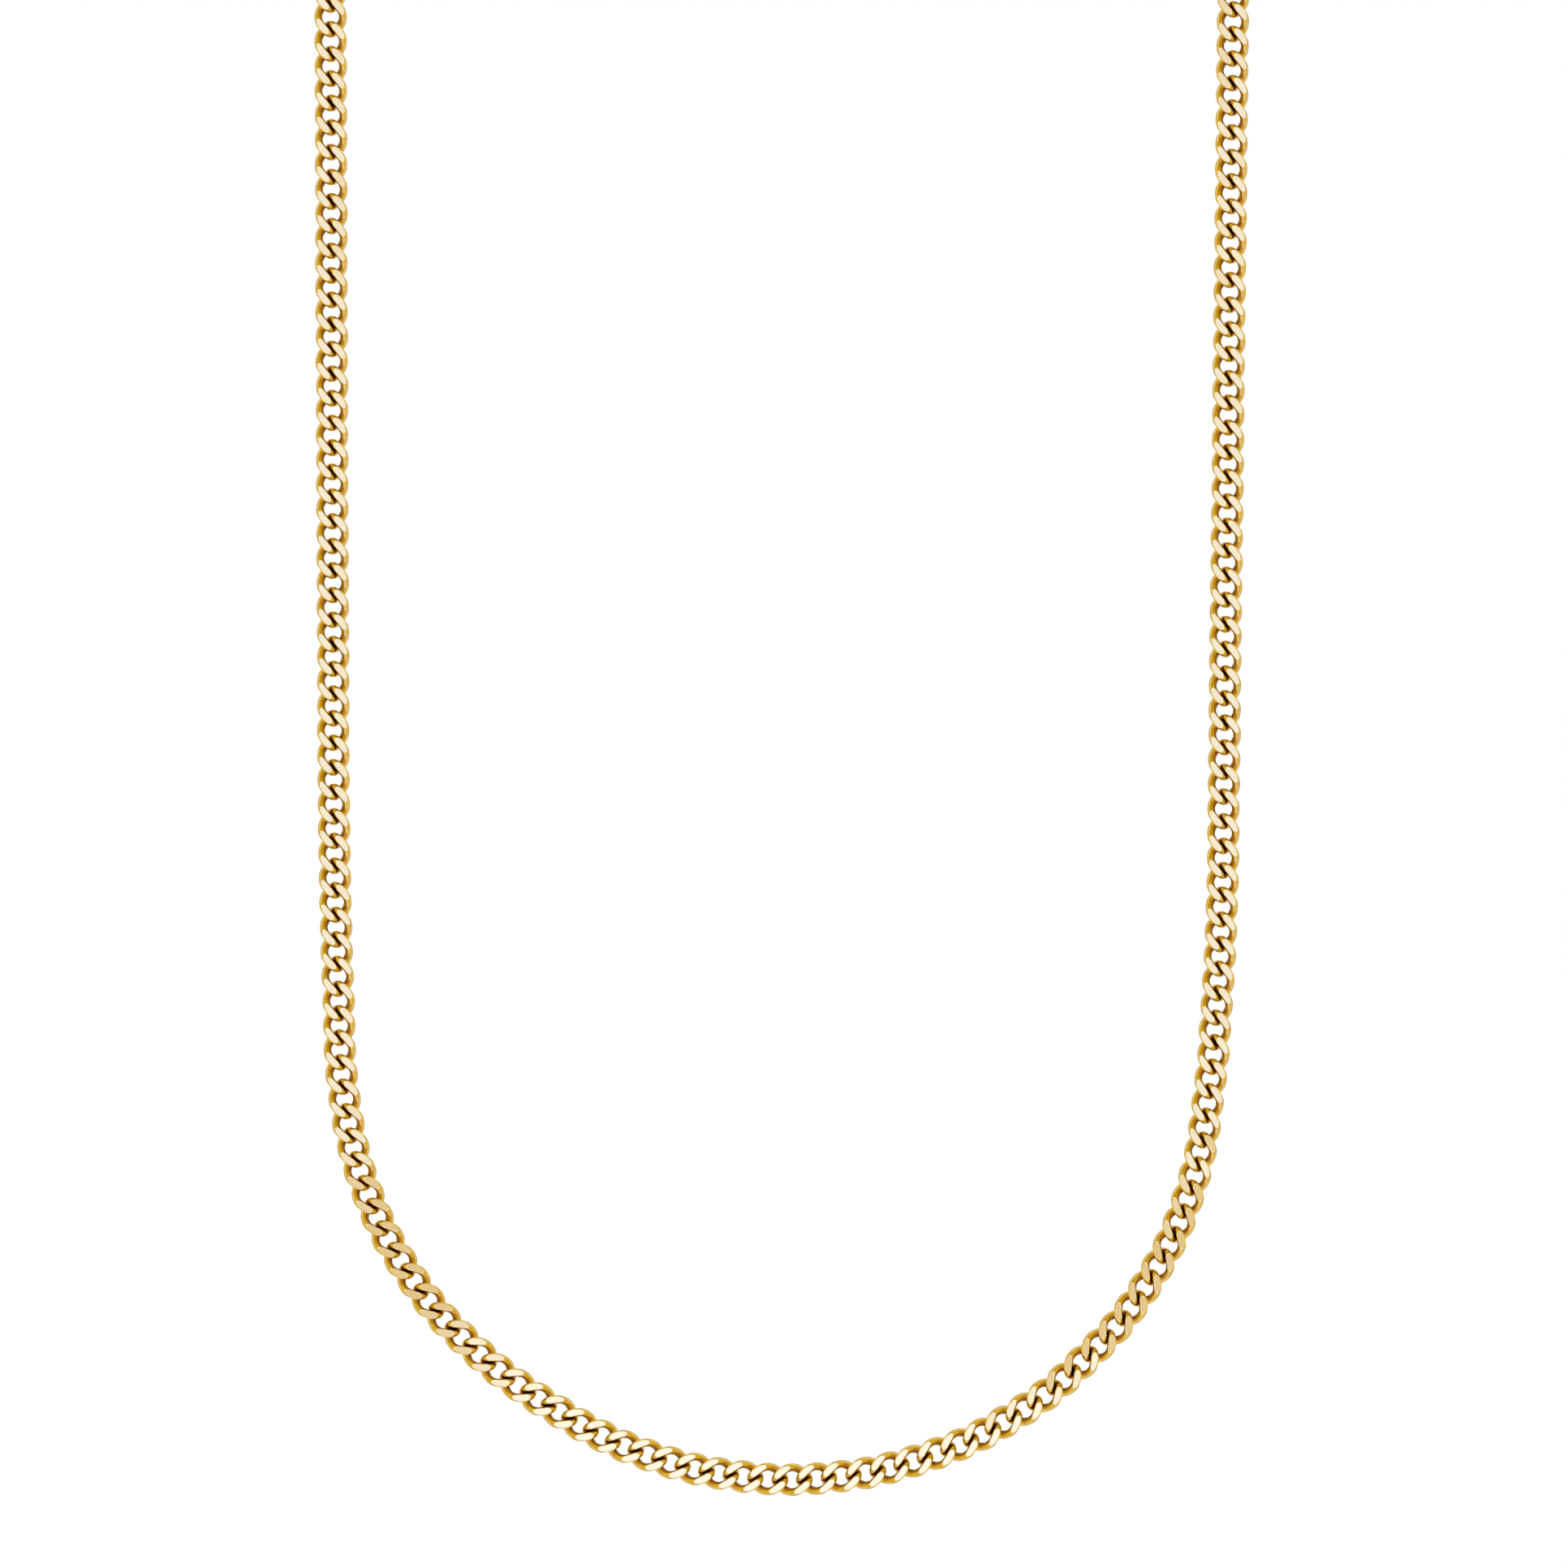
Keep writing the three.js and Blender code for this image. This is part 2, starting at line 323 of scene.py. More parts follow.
@dataclass(frozen=True)
class SteelFinish:
    """Bright spring steel strip with lengthwise rolling lines."""

    name: str
    bright: Colour = (0.72, 0.73, 0.75, 1.0)
    dull: Colour = (0.50, 0.51, 0.54, 1.0)
    roughness: float = 0.26
    line_roughness: float = 0.15
    line_scale: tuple[float, float, float] = (9000.0, 1500.0, 16000.0)
    line_depth: float = 0.002
    bump_strength: float = 0.4

    def material(self) -> Material:
        """Makes the material.

        Returns:
            A procedural metal that reads Object coordinates.
        """
        made, graph, place = new_material(self.name)
        mapping = graph.node("ShaderNodeMapping", None, {"Vector": place, "Scale": self.line_scale})
        lines = graph.noise(mapping.outputs[0], 1.0, 4.0)
        colour = graph.mix(lines, self.bright, self.dull)
        bump = graph.bump(self.bump_strength, self.line_depth, lines)
        rough = self.roughness + self.line_roughness * (lines - 0.5)
        graph.surface({"Base Color": colour, "Metallic": 1.0, "Roughness": rough, "Normal": bump})
        return made


# ---- mesh helpers


def new_object(name: str, data: ID) -> Object:
    """Links an object into the scene.

    Args:
        name: the object's name.
        data: its mesh, curve or camera.

    Returns:
        The object, at the origin.
    """
    made = bpy.data.objects.new(name, data)
    bpy.context.scene.collection.objects.link(made)
    return made


def baked_mesh(source: Object) -> Mesh:
    """The mesh that an object's modifiers give."""
    bpy.context.view_layer.update()
    evaluated = source.evaluated_get(bpy.context.evaluated_depsgraph_get())
    return bpy.data.meshes.new_from_object(evaluated)


def mesh_from(points: Sequence[Vector], faces: Sequence[Sequence[int]], name: str) -> Mesh:
    """Makes a closed mesh whose faces point outwards.

    Args:
        points: the corners.
        faces: corner numbers of each face.
        name: the mesh's name.

    Returns:
        The mesh.
    """
    mesh = bpy.data.meshes.new(name)
    mesh.from_pydata(points, [], faces)
    shell = bmesh.new()
    shell.from_mesh(mesh)
    bmesh.ops.recalc_face_normals(shell, faces=shell.faces)
    shell.to_mesh(mesh)
    shell.free()
    return mesh


def swept_ring(rings: Sequence[Sequence[Vector]]) -> tuple[list[Vector], list[tuple[int, ...]]]:
    """Joins equal closed sections, the last to the first, into one tube.

    Args:
        rings: the points of each section, in order.

    Returns:
        Points and quads; quad number i * sides + j starts at point j of section i.
    """
    sides = len(rings[0])
    points = [point for ring in rings for point in ring]
    faces = []
    for i in range(len(rings)):
        after = (i + 1) % len(rings)
        for j in range(sides):
            beside = (j + 1) % sides
            faces.append((i * sides + j, i * sides + beside, after * sides + beside, after * sides + j))
    return points, faces


def stacked(levels: Sequence[Sequence[Vector]], name: str) -> Mesh:
    """Joins equal closed sections, and closes the first and the last of them.

    Args:
        levels: the points of each section, in order.
        name: the mesh's name.

    Returns:
        A closed mesh.
    """
    sides = len(levels[0])
    points, around = swept_ring(levels)
    bottom = tuple(reversed(range(sides)))
    top = tuple(range(len(points) - sides, len(points)))
    return mesh_from(points, [*around[:-sides], bottom, top], name)


def wire_section(radius: float, wire: float, outward: Vector, normal: Vector) -> list[Vector]:
    """One section of a round wire ring about the origin.

    Args:
        radius: the ring's radius.
        wire: the wire's radius.
        outward: the direction from the origin to the section.
        normal: the ring's axis.

    Returns:
        The section's points.
    """
    turns = [2 * math.pi * j / WIRE_SIDES for j in range(WIRE_SIDES)]
    return [(radius + wire * math.cos(a)) * outward + wire * math.sin(a) * normal for a in turns]


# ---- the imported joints


@dataclass(frozen=True)
class Joint:
    """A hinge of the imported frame."""

    place: Vector
    axis: Vector

    @classmethod
    def named(cls, name: str) -> "Joint":
        """Finds a joint by its name."""
        found = next(joint for joint in frame["joints"] if joint["name"] == name)
        return cls(Vector(found["pos_m"]), Vector(found["axis"]))


def joint_to(body: str) -> Joint:
    """The joint that carries a body."""
    return Joint.named(next(joint["name"] for joint in frame["joints"] if joint["child"] == body))


# ---- chain

# The point of a link's section where the strip of its upper and of its lower ground face starts.
STRIP_STARTS = {1: 0, -1: 8}


@dataclass
class CurbLink:
    """One curb link along X, in millimetres: an oval wire ring, twisted about X and ground flat."""

    half_length: float = 2.02
    half_width: float = 1.50
    leg_wire: float = 0.50
    end_wire: float = 0.54
    twist: float = math.radians(50)
    face_height: float = 0.78
    face_centre: tuple[float, float] = (1.18, 1.09)
    face_lean: tuple[float, float] = (0.0, 0.12)
    lean_from: float = 0.3
    least_face_angle: float = math.radians(20)
    rim_angle: float = math.radians(9)
    flat_part: float = 0.72
    line_part: float = 0.90
    crown_drop: float = 0.012
    face_steps: int = 8
    free_steps: int = 2
    search_steps: int = 400
    tangent_step: float = 1e-4
    # where the painted shade of the recesses lies: on the wire's inner side, strongest towards the
    # link's ends
    least_cut: float = 0.05
    recess_from: float = 0.30
    recess_span: float = 0.55
    bend_from: float = 0.45
    bend_span: float = 0.4
    leg_recess: float = 0.8

    def centre(self, t: float) -> Vector:
        """The wire's centre at angle t round the link."""
        along = self.half_length * math.cos(t)
        across = self.half_width * math.sin(t)
        turn = -self.twist * along / self.half_length
        return Vector((along, across * math.cos(turn), across * math.sin(turn)))

    def wire(self, t: float) -> float:
        """The wire's radius at angle t: a little thicker where links bear on each other."""
        return self.leg_wire + (self.end_wire - self.leg_wire) * math.cos(t) ** 2

    def tangent(self, t: float) -> Vector:
        """The wire's direction at angle t."""
        near = self.tangent_step
        return (self.centre(t + near) - self.centre(t - near)).normalized()

    def plane(self, t: float, side: int) -> tuple[Vector, Vector]:
        """The ground plane near angle t.

        Args:
            t: angle round the link.
            side: 1 for the upper face and -1 for the lower one.

        Returns:
            Its outward normal and a point on it.
        """
        centre = self.centre(t)
        sign_x = math.copysign(1.0, centre.x)
        sign_y = math.copysign(1.0, centre.y)
        part = min(1.0, max(0.0, centre.z * side / self.lean_from))
        lean = Vector((self.face_lean[0] * sign_x * part, self.face_lean[1] * sign_y * part, side))
        x, y = self.face_centre
        return lean.normalized(), Vector((x * sign_x, y * sign_y, side * self.face_height))

    def upward(self, t: float, side: int) -> Vector:
        """The direction in the section's plane that faces the ground plane."""
        tangent = self.tangent(t)
        normal = self.plane(t, side)[0]
        return (normal - normal.dot(tangent) * tangent).normalized()

    def cut_angle(self, t: float, side: int) -> float:
        """Half the angle of the section that the ground plane cuts off, or 0."""
        normal, point = self.plane(t, side)
        reach = self.wire(t) * normal.dot(self.upward(t, side))
        gap = normal.dot(point - self.centre(t))
        return math.acos(max(-1.0, min(1.0, gap / reach)))

    def quarter(self) -> list[float]:
        """Angles of the first quarter's sections, closer together where the face begins and ends."""
        steps = self.search_steps
        samples = [0.5 * math.pi * i / steps for i in range(1, steps)]
        inside = [t for t in samples if self.cut_angle(t, -1) > self.least_cut]
        first, last = inside[0], inside[-1]
        free = self.free_steps
        before = [first * (i + 0.5) / (free + 0.5) for i in range(free)]
        after_room = 0.5 * math.pi - last
        after = [last + after_room * (i + 1.0) / (free + 0.5) for i in range(free)]
        middle = 0.5 * (first + last)
        half = 0.5 * (last - first)
        waves = [math.pi * i / self.face_steps for i in range(self.face_steps + 1)]
        return before + [middle - half * math.cos(wave) for wave in waves] + after

    def angles(self) -> list[float]:
        """Angles of all sections, the same in each quarter up to mirror and turn."""
        quarter = self.quarter()
        mirrored = [math.pi - t for t in reversed(quarter)]
        half = quarter + mirrored
        return half + [t + math.pi for t in half]

    def strip(self, t: float, side: int) -> list[float]:
        """Angles of the six points of a ground face's strip, from its upward direction."""
        wide = max(self.cut_angle(t, side), self.least_face_angle)
        half = [math.asin(part * math.sin(wide)) for part in (self.flat_part, self.line_part)]
        half.append(wide + self.rim_angle)
        return [-angle for angle in reversed(half)] + half

    def section(self, t: float) -> list[Vector]:
        """The 16 points of one section, starting at the upper ground face."""
        centre = self.centre(t)
        tangent = self.tangent(t)
        up = self.upward(t, 1)
        across = tangent.cross(up)
        down = self.upward(t, -1)
        down_angle = math.atan2(down.dot(across), down.dot(up)) % (2 * math.pi)
        upper = self.strip(t, 1)
        lower = [down_angle + angle for angle in self.strip(t, -1)]
        right = [upper[-1] + (lower[0] - upper[-1]) * part for part in (1 / 3, 2 / 3)]
        rest = upper[0] + 2 * math.pi
        left = [lower[-1] + (rest - lower[-1]) * part for part in (1 / 3, 2 / 3)]
        points = []
        shoulders = [start + step for start in STRIP_STARTS.values() for step in (1, 4)]
        for number, angle in enumerate(upper + right + lower + left):
            point = centre + self.wire(t) * (math.cos(angle) * up + math.sin(angle) * across)
            drop = self.crown_drop if number in shoulders else 0.0
            for side in (1, -1):
                normal, on_plane = self.plane(t, side)
                point = point - max(0.0, normal.dot(point - on_plane) + drop) * normal
            points.append(point)
        return points

    def recess_shade(self, t: float, point: Vector) -> float:
        """How much painted shade a point gets: how deep it lies in the bend where the next link rests,
        from 0 to 1.
        """
        centre = self.centre(t)
        inward = (point - centre).normalized().dot(-centre.normalized())
        depth = min(1.0, max(0.0, (inward - self.recess_from) / self.recess_span))
        along = abs(centre.x) / self.half_length
        near_end = min(1.0, max(0.0, (along - self.bend_from) / self.bend_span))
        return depth * depth * (3 - 2 * depth) * (self.leg_recess + (1 - self.leg_recess) * near_end)

    def mesh(self) -> Mesh:
        """Builds the link.

        Returns:
            A closed mesh in metres, with its ground faces flat and marked.
        """
        angles = self.angles()
        rings = [self.section(t) for t in angles]
        points, faces = swept_ring(rings)
        mesh = mesh_from([point * MM for point in points], faces, "curb_link")
        sides = len(rings[0])
        marks = {"cut_face": [0.0] * len(faces), "cut_line": [0.0] * len(faces)}
        smooth = [True] * len(faces)
        for i, t in enumerate(angles):
            after = angles[(i + 1) % len(angles)]
            for side, start in STRIP_STARTS.items():
                flat = i * sides + start + 2
                cut = min(self.cut_angle(t, side), self.cut_angle(after, side))
                if cut > self.least_cut:
                    marks["cut_face"][flat] = 1.0
                    smooth[flat] = False
                    if cut > self.least_face_angle:
                        # the band round the ground face, which the material paints as a rim reflection
                        marks["cut_line"][flat - 1] = marks["cut_line"][flat + 1] = 1.0
        for name, values in marks.items():
            mesh.attributes.new(name, "FLOAT", "FACE").data.foreach_set("value", values)
        # painted shade: the mark by which the material paints the link's recesses dark
        depth = [self.recess_shade(t, point) for t, ring in zip(angles, rings) for point in ring]
        mesh.attributes.new("recess_shade", "FLOAT", "POINT").data.foreach_set("value", depth)
        mesh.polygons.foreach_set("use_smooth", smooth)
        self._sharpen(mesh, smooth)
        return mesh

    @staticmethod
    def _sharpen(mesh: Mesh, smooth: Sequence[bool]) -> None:
        """Marks the border of the flat faces as sharp, so that the round wire keeps its own shading."""
        flat_edges = set()
        for polygon, is_smooth in zip(mesh.polygons, smooth):
            if not is_smooth:
                flat_edges.update(polygon.edge_keys)
        sharp = [edge.key in flat_edges for edge in mesh.edges]
        mesh.attributes.new("sharp_edge", "BOOLEAN", "EDGE").data.foreach_set("value", sharp)


@dataclass
class LinkRunTree:
    """A geometry node tree that sets links along the chain's path."""

    name: str = "link_run"
    seed_step: float = 7.0

    def build(self) -> NodeTree:
        """Makes the tree.

        Returns:
            The tree, whose inputs are named for what they set.
        """
        tree = bpy.data.node_groups.new(self.name, "GeometryNodeTree")
        graph = NodeGraph(tree)
        sockets = (
            ("Geometry", "Geometry"),
            ("Path", "Object"),
            ("Link", "Object"),
            ("All Links", "Int"),
            ("First Link", "Int"),
            ("Links", "Int"),
            ("Play", "Float"),
            ("Roll", "Float"),
            ("Seed", "Int"),
            ("Finish", "Material"),
        )
        for name, kind in sockets:
            tree.interface.new_socket(name=name, in_out="INPUT", socket_type=f"NodeSocket{kind}")
        tree.interface.new_socket(name="Geometry", in_out="OUTPUT", socket_type="NodeSocketGeometry")
        given = graph.node("NodeGroupInput").outputs
        path = graph.node("GeometryNodeObjectInfo", None, {"Object": given["Path"]})
        link = graph.node("GeometryNodeObjectInfo", None, {"Object": given["Link"]})
        spots = graph.node(
            "GeometryNodeCurveToPoints",
            {"mode": "COUNT"},
            {"Curve": path.outputs["Geometry"], "Count": given["All Links"]},
        )
        aim = graph.node(
            "FunctionNodeAxesToRotation",
            {"primary_axis": "X", "secondary_axis": "Z"},
            {"Primary Axis": spots.outputs["Tangent"], "Secondary Axis": (0.0, 0.0, 1.0)},
        )
        index = graph.value(graph.node("GeometryNodeInputIndex").outputs[0])
        first = graph.value(given["First Link"])
        here = (index > first - 0.5) * (index < first + graph.value(given["Links"]) - 0.5)
        roll = self._random(graph, given["Roll"], given["Seed"])
        turn = graph.node(
            "FunctionNodeRotateRotation",
            {"rotation_space": "LOCAL"},
            {"Rotation": aim.outputs[0], "Rotate By": roll},
        )
        play_seed = (graph.value(given["Seed"]) + self.seed_step).socket
        offset = self._random(graph, given["Play"], play_seed)
        shifted = graph.node(
            "GeometryNodeSetPosition", None, {"Geometry": spots.outputs["Points"], "Offset": offset}
        )
        placed = graph.node(
            "GeometryNodeInstanceOnPoints",
            None,
            {
                "Points": shifted.outputs[0],
                "Selection": here,
                "Instance": link.outputs["Geometry"],
                "Rotation": turn.outputs[0],
            },
        )
        real = graph.node("GeometryNodeRealizeInstances", None, {"Geometry": placed.outputs[0]})
        finish = graph.node(
            "GeometryNodeSetMaterial", None, {"Geometry": real.outputs[0], "Material": given["Finish"]}
        )
        graph.node("NodeGroupOutput", None, {"Geometry": finish.outputs[0]})
        return tree

    @staticmethod
    def _random(graph: NodeGraph, amount: NodeSocket, seed: NodeSocket) -> NodeSocket:
        """A random vector whose parts reach plus or minus the amount."""
        spread = graph.node(
            "FunctionNodeRandomValue",
            {"data_type": "FLOAT_VECTOR"},
            {0: (-1.0, -1.0, -1.0), 1: (1.0, 1.0, 1.0), "Seed": seed},
        )
        scaled = graph.node(
            "ShaderNodeVectorMath", {"operation": "SCALE"}, {0: spread.outputs[0], "Scale": amount}
        )
        return scaled.outputs[0]


@dataclass
class Chain:
    """The whole chain: 45 rigid lengths of four links each, one for each body."""

    link: CurbLink
    links_per_length: int = 4
    lengths_per_arm: int = 22
    play: float = 0.03
    roll: float = math.radians(0.6)
    seed: int = 11
    path_steps: int = 24
    pitch_lengths: tuple[int, int] = (20, 21)

    def bodies(self) -> list[str]:
        """Names of the lengths, from the right arm's end to the left arm's end."""
        numbers = range(1, self.lengths_per_arm + 1)
        right = [f"chain_{Arm.RIGHT.value}_{n:02d}" for n in reversed(numbers)]
        left = [f"chain_{Arm.LEFT.value}_{n:02d}" for n in numbers]
        return right + ["chain_middle"] + left

    def end_link(self, arm: Arm, ring_joint: str) -> Vector:
        """The middle of an arm's last link.

        Args:
            arm: the arm.
            ring_joint: the joint of the ring that hooks the last link.

        Returns:
            The middle, on the line from the arm's last joint to the ring's joint.
        """
        last = joint_to(f"chain_{arm.value}_{self.lengths_per_arm:02d}").place
        towards = (Joint.named(ring_joint).place - last).normalized()
        return last + towards * (self.links_per_length - 0.5) * self.pitch()

    def pitch(self) -> float:
        """The distance between links, from two neighbouring joints that stand one length apart."""
        one, two = (joint_to(f"chain_{Arm.RIGHT.value}_{n:02d}").place for n in self.pitch_lengths)
        return (one - two).length / self.links_per_length

    def path(self) -> Object:
        """The chain's centre line, through every joint, as a smooth curve."""
        bodies = self.bodies()
        middle = bodies.index("chain_middle")
        places = [joint_to(body).place for body in bodies[:middle]]
        places += [joint_to(body).place for body in bodies[middle + 1:]]
        places.insert(0, self.end_link(Arm.RIGHT, "end_ring_lean"))
        places.append(self.end_link(Arm.LEFT, "clasp_ring_lift"))
        curve = bpy.data.curves.new("chain_path", "CURVE")
        curve.dimensions = "3D"
        curve.resolution_u = self.path_steps
        spline = curve.splines.new("BEZIER")
        spline.bezier_points.add(len(places) - 1)
        for point, place in zip(spline.bezier_points, places):
            point.co = place
            point.handle_left_type = point.handle_right_type = "AUTO"
        return new_object("chain_path", curve)

    def build(self, finish: Material) -> list[Object]:
        """Builds every length, puts it on its body and hides its plain solid.

        Args:
            finish: the gold of the links.

        Returns:
            The lengths.
        """
        path = self.path()
        pattern = new_object("curb_link_pattern", self.link.mesh())
        tree = LinkRunTree().build()
        inputs = [item for item in tree.interface.items_tree if item.in_out == "INPUT"]
        names = {item.name: item.identifier for item in inputs}
        carrier = new_object("link_run_carrier", bpy.data.meshes.new("link_run_carrier"))
        bodies = self.bodies()
        made = []
        for number, body in enumerate(bodies):
            modifier = carrier.modifiers.new("links", "NODES")
            modifier.node_group = tree
            settings = {
                "Path": path,
                "Link": pattern,
                "All Links": self.links_per_length * len(bodies),
                "First Link": self.links_per_length * number,
                "Links": self.links_per_length,
                "Play": self.play * MM,
                "Roll": self.roll,
                "Seed": self.seed,
                "Finish": finish,
            }
            for name, setting in settings.items():
                modifier[names[name]] = setting
            mesh = baked_mesh(carrier)
            mesh.name = f"{body}_links"
            carrier.modifiers.remove(modifier)
            piece = new_object(f"{body}_links", mesh)
            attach(piece, body)
            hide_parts(body)
            made.append(piece)
        for helper in (carrier, pattern, path):
            bpy.data.objects.remove(helper)
        return made


# ---- rings


@dataclass
class RoundRing:
    """A round wire ring that leans about the chain's line, in millimetres."""

    body: str
    radius: float
    wire: float
    lean: float
    direction: Vector
    seam_at: float
    seam_depth: float = 0.04
    seam_half: float = 0.05
    steps: int = 72

    def wire_at(self, turn: float) -> float:
        """The wire's radius, pinched where its two sawn ends meet."""
        gap = abs((turn - self.seam_at + math.pi) % (2 * math.pi) - math.pi) * self.radius
        return self.wire - self.seam_depth * max(0.0, 1.0 - gap / self.seam_half)

    def turns(self) -> list[float]:
        """Angles of the sections, with three close together at the seam."""
        evenly = [2 * math.pi * i / self.steps for i in range(self.steps)]
        narrow = self.seam_half / self.radius
        seam = [self.seam_at + narrow * part for part in (-1.0, 0.0, 1.0)]
        clear = [t for t in evenly if abs(t - self.seam_at) > 1.2 * narrow]
        return sorted(clear + seam)

    def build(self, finish: Material) -> Object:
        """Builds the ring on its body.

        Args:
            finish: the gold of the fittings.

        Returns:
            The ring.
        """
        low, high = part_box(self.body)
        centre = 0.5 * (low + high)
        along = self.direction.normalized()
        beside = UP.cross(along).normalized()
        top = along.cross(beside)
        across = math.cos(self.lean) * beside + math.sin(self.lean) * top
        normal = along.cross(across)
        rings = []
        for turn in self.turns():
            outward = math.cos(turn) * along + math.sin(turn) * across
            section = wire_section(self.radius, self.wire_at(turn), outward, normal)
            rings.append([centre + offset * MM for offset in section])
        points, faces = swept_ring(rings)
        mesh = mesh_from(points, faces, f"{self.body}_wire")
        mesh.shade_smooth()
        mesh.materials.append(finish)
        piece = new_object(f"{self.body}_wire", mesh)
        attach(piece, self.body)
        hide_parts(self.body)
        return piece


# ---- clasp

Point = tuple[float, float]
LEAST_CORNER = 0.6  # sharper corners than this cosine are rounded less than the rest of the edge
BAR_SIDES = 32
DOME_ANGLES = (0.5, 1.0, 1.35)
EYE_STEPS = 48


@dataclass(frozen=True)
class Outline:
    """A closed flat outline of straight lines and soft bends, in millimetres."""

    start: Point
    bends: tuple[tuple[Point | None, Point], ...]
    steps: int = 10

    def points(self) -> list[Vector]:
        """Points along the outline, the last one joined to the first.

        Returns:
            Flat points, anticlockwise.
        """
        found = [Vector((*self.start, 0.0))]
        for control, end in self.bends:
            first, last = found[-1], Vector((*end, 0.0))
            if control is None:
                found.append(last)
                continue
            pull = Vector((*control, 0.0))
            for i in range(1, self.steps + 1):
                part = i / self.steps
                found.append((1 - part) ** 2 * first + 2 * part * (1 - part) * pull + part**2 * last)
        if (found[-1] - found[0]).length < SAME_PLACE:
            found.pop()
        area = sum(a.x * b.y - b.x * a.y for a, b in zip(found, found[1:] + found[:1]))
        return found if area > 0 else found[::-1]


def rounded_plate(outline: Outline, half_thickness: float, rounding: Point, steps: int) -> Mesh:
    """A plate whose edges are rounded all the way along.

    Args:
        outline: its widest outline.
        half_thickness: half its thickness.
        rounding: how far its rounded edges reach inwards and up or down.
        steps: facets across each rounded edge.

    Returns:
        A closed mesh in millimetres.
    """
    flat = outline.points()
    count = len(flat)
    inward = []
    for i in range(count):
        edge_in = (flat[i] - flat[i - 1]).normalized()
        edge_out = (flat[(i + 1) % count] - flat[i]).normalized()
        middle = (edge_in + edge_out).normalized()
        stretch = 1.0 / max(LEAST_CORNER, middle.dot(edge_in))
        inward.append(Vector((-middle.y, middle.x, 0.0)) * stretch)
    profile = []
    for i in range(steps + 1):
        angle = 0.5 * math.pi * i / steps
        inset = rounding[0] * (1 - math.cos(angle))
        profile.append((inset, half_thickness - rounding[1] * (1 - math.sin(angle))))
    levels = [(inset, -height) for inset, height in reversed(profile)] + profile
    sections = []
    for inset, height in levels:
        rise = Vector((0.0, 0.0, height))
        sections.append([point + inset * inner + rise for point, inner in zip(flat, inward)])
    return stacked(sections, "rounded_plate")


def round_bar(radius: float, half_length: float, centre: Point, dome: float = 0.0) -> Mesh:
    """A round bar along Z, with domed ends if asked.

    Args:
        radius: its radius.
        half_length: half its length, without the domes.
        centre: where it crosses the plate.
        dome: height of each domed end.

    Returns:
        A closed mesh in millimetres.
    """
    levels = [(radius, -half_length), (radius, half_length)]
    if dome > 0:
        caps = [(radius * math.cos(a), half_length + dome * math.sin(a)) for a in DOME_ANGLES]
        levels = [(r, -z) for r, z in reversed(caps)] + levels + caps
    turns = [2 * math.pi * i / BAR_SIDES for i in range(BAR_SIDES)]
    x, y = centre
    sections = []
    for r, z in levels:
        sections.append([Vector((x + r * math.cos(a), y + r * math.sin(a), z)) for a in turns])
    return stacked(sections, "round_bar")


def round_eye(radius: float, wire: float) -> Mesh:
    """A round wire eye in the plate's plane, about the origin, in millimetres."""
    rings = []
    for i in range(EYE_STEPS):
        turn = 2 * math.pi * i / EYE_STEPS
        rings.append(wire_section(radius, wire, Vector((math.cos(turn), math.sin(turn), 0.0)), UP))
    return mesh_from(*swept_ring(rings), "round_eye")


def combined(base: Mesh, changes: Sequence[tuple[str, Mesh]]) -> Mesh:
    """Joins and cuts closed meshes.

    Args:
        base: the mesh to start from.
        changes: "UNION" or "DIFFERENCE" with each further mesh, in order.

    Returns:
        One closed mesh.
    """
    work = new_object("work", base)
    tools = []
    for operation, mesh in changes:
        tool = new_object("work_tool", mesh)
        modifier = work.modifiers.new("change", "BOOLEAN")
        modifier.operation = operation
        modifier.solver = "EXACT"
        modifier.object = tool
        tools.append(tool)
    made = baked_mesh(work)
    for helper in [work, *tools]:
        bpy.data.objects.remove(helper)
    shell = bmesh.new()
    shell.from_mesh(made)
    bmesh.ops.remove_doubles(shell, verts=shell.verts, dist=WELD)
    bmesh.ops.dissolve_degenerate(shell, edges=shell.edges, dist=WELD)
    shell.to_mesh(made)
    shell.free()
    return made


